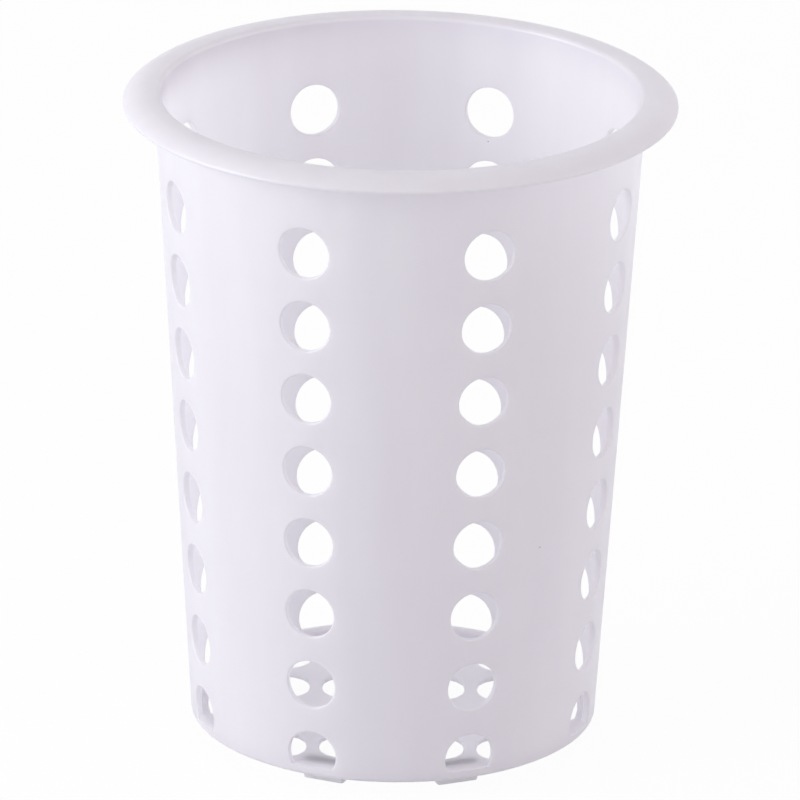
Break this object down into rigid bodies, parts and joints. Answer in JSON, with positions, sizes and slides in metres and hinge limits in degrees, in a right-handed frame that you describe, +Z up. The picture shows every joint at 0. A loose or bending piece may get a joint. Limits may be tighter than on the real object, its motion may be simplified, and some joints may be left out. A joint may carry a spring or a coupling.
{
  "type": "cutlery holder",
  "caption": "Tapered round cutlery holder with a perforated wall, a flared rim, an open drain floor and low feet, for standing forks, knives and spoons upright.",
  "frame": {"origin": "centre of the base, on the surface that the feet stand on", "axes": "+Z up along the cup's axis towards the mouth; -Y is the front, midway between two columns of holes"},
  "size_m": [0.1142, 0.1142, 0.1397],
  "materials": {
    "white_plastic": "satin moulded, slightly translucent"
  },
  "bodies": {
    "root": {"rim_lip": "white_plastic", "wall_shell": "white_plastic", "drain_floor": "white_plastic", "foot_1": "white_plastic", "foot_2": "white_plastic", "foot_3": "white_plastic", "foot_4": "white_plastic", "foot_5": "white_plastic", "foot_6": "white_plastic", "foot_7": "white_plastic", "foot_8": "white_plastic"}
  },
  "joints": []
}
